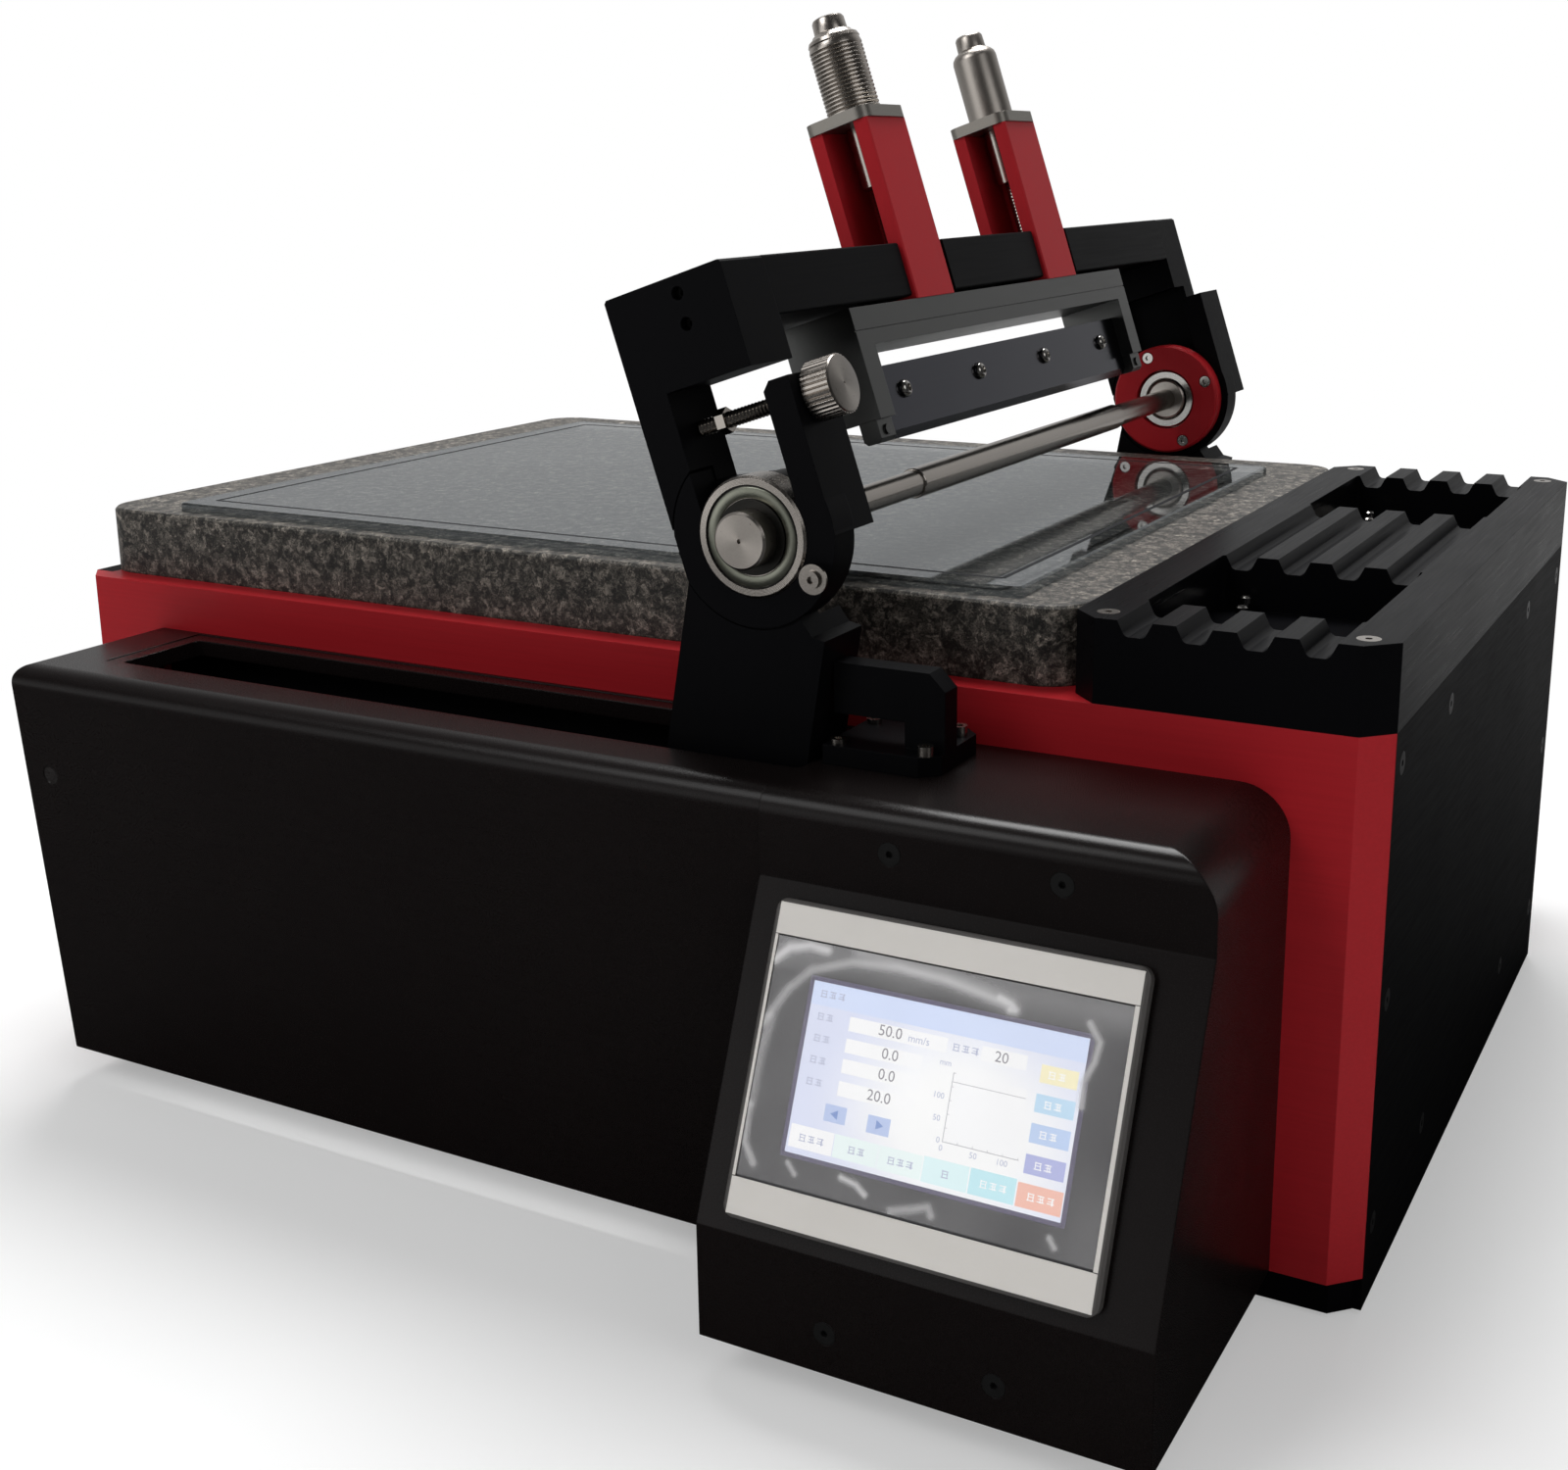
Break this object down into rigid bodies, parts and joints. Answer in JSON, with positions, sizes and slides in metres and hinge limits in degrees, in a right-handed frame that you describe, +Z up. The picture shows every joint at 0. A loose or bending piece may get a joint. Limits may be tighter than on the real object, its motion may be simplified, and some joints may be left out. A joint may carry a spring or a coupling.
{
  "type": "automatic film applicator",
  "caption": "Benchtop film coater: a rail-borne carriage moves a tilting, micrometer-set doctor blade over a glass plate on a granite bed.",
  "frame": {"origin": "middle of the base's bounding footprint at table level", "axes": "+X along the bed towards the bar tray and the home end, +Y from the operator's side to the back, +Z up"},
  "size_m": [0.593, 0.5724, 0.4464],
  "materials": {
    "red_anodised": "red anodised, satin",
    "black_anodised": "black anodised, matte",
    "granite": "fine ground dark granite",
    "glass": "polished float glass",
    "display_glass": "glossy touch glass",
    "steel": "ground steel",
    "polished_steel": "polished steel",
    "bright_aluminium": "satin machined",
    "bezel": "silver, satin",
    "rubber": "moulded",
    "belt": "moulded, toothed",
    "plastic": "moulded",
    "black_steel": "black oxide",
    "bearing_steel": "ground bearing steel"
  },
  "bodies": {
    "base": {"base_plate": "black_anodised", "rubber_feet": "rubber", "front_panel": "red_anodised", "rear_panel": "red_anodised", "left_end_panel": "black_anodised", "right_end_panel": "black_anodised", "end_panel_screws": "black_steel", "deck_plate": "bright_aluminium", "power_inlet": "plastic", "granite_bed": "granite", "glass_platen": "glass", "bar_tray": "black_anodised", "tray_screws": "black_steel", "front_housing": "black_anodised", "rear_housing": "black_anodised", "slot_trims": "black_anodised", "housing_screws": "black_steel", "hmi_body": "plastic", "hmi_bezel": "bezel", "hmi_glass": "display_glass", "home_stop": "black_anodised", "home_stop_screws": "steel", "guide_rails": "steel", "drive_motor": "plastic", "idler_pin": "steel", "timing_belt": "belt", "control_board": "plastic"},
    "carriage": {"near_side_plate": "black_anodised", "far_side_plate": "black_anodised", "slider_blocks": "steel", "bearing_outer_rings": "bearing_steel", "bearing_retainer": "steel", "bearing_flange": "red_anodised", "carriage_screws": "black_steel", "belt_clamp": "bright_aluminium"},
    "bridge": {"near_leg": "black_anodised", "far_leg": "black_anodised", "leg_screws": "black_steel", "crossbeam": "black_anodised", "anvil_pins": "steel", "near_axle": "steel", "far_axle": "steel", "cross_rod": "polished_steel", "bearing_inner_rings": "bearing_steel"},
    "blade_unit": {"near_tower": "red_anodised", "far_tower": "red_anodised", "tower_caps": "bright_aluminium", "micrometer_sleeves": "steel", "blade_holder": "steel", "blade": "polished_steel", "blade_screws": "steel", "blade_end_plates": "steel"},
    "near_micrometer": {"near_thimble": "steel"},
    "far_micrometer": {"far_thimble": "steel"},
    "knob": {"tilt_knob": "steel", "tilt_lock_nut": "steel"},
    "drive": {"drive_shaft": "steel", "drive_pulley": "bright_aluminium"},
    "idler": {"idler_pulley": "bright_aluminium"}
  },
  "joints": [
    {"name": "carriage_travel", "type": "slide", "parent": "base", "child": "carriage", "axis": [1, 0, 0], "range_m": [-0.255, 0]},
    {"name": "bridge_tilt", "type": "hinge", "parent": "carriage", "child": "bridge", "pos_m": [0.0895, 0, 0.2667], "axis": [0, 1, 0], "range_deg": [-24, 0]},
    {"name": "blade_lift", "type": "slide", "parent": "bridge", "child": "blade_unit", "axis": [-0.3123, 0, 0.95], "range_m": [-0.02, 0]},
    {"name": "near_thimble_turn", "type": "hinge", "parent": "bridge", "child": "near_micrometer", "pos_m": [0.05583, -0.081, 0.39248], "axis": [-0.3123, 0, 0.95], "range_deg": [-14450, 50]},
    {"name": "far_thimble_turn", "type": "hinge", "parent": "bridge", "child": "far_micrometer", "pos_m": [0.05583, 0.053, 0.39248], "axis": [-0.3123, 0, 0.95], "range_deg": [-14450, 50]},
    {"name": "knob_turn", "type": "hinge", "parent": "carriage", "child": "knob", "pos_m": [0.1063, -0.217, 0.31486], "axis": [0.95, 0, 0.3123], "range_deg": [-180, 180]},
    {"name": "drive_turn", "type": "hinge", "parent": "base", "child": "drive", "pos_m": [-0.225, -0.1925, 0.07], "axis": [0, 1, 0], "range_deg": [-1160, 10]},
    {"name": "idler_turn", "type": "hinge", "parent": "base", "child": "idler", "pos_m": [0.15, -0.1925, 0.07], "axis": [0, 1, 0], "range_deg": [-1160, 10]}
  ],
  "couplings": [
    {"joint": "near_thimble_turn", "follows": "blade_lift", "rad_per_m": 12566},
    {"joint": "far_thimble_turn", "follows": "blade_lift", "rad_per_m": 12566},
    {"joint": "drive_turn", "follows": "carriage_travel", "rad_per_m": 78.54},
    {"joint": "idler_turn", "follows": "carriage_travel", "rad_per_m": 78.54}
  ]
}
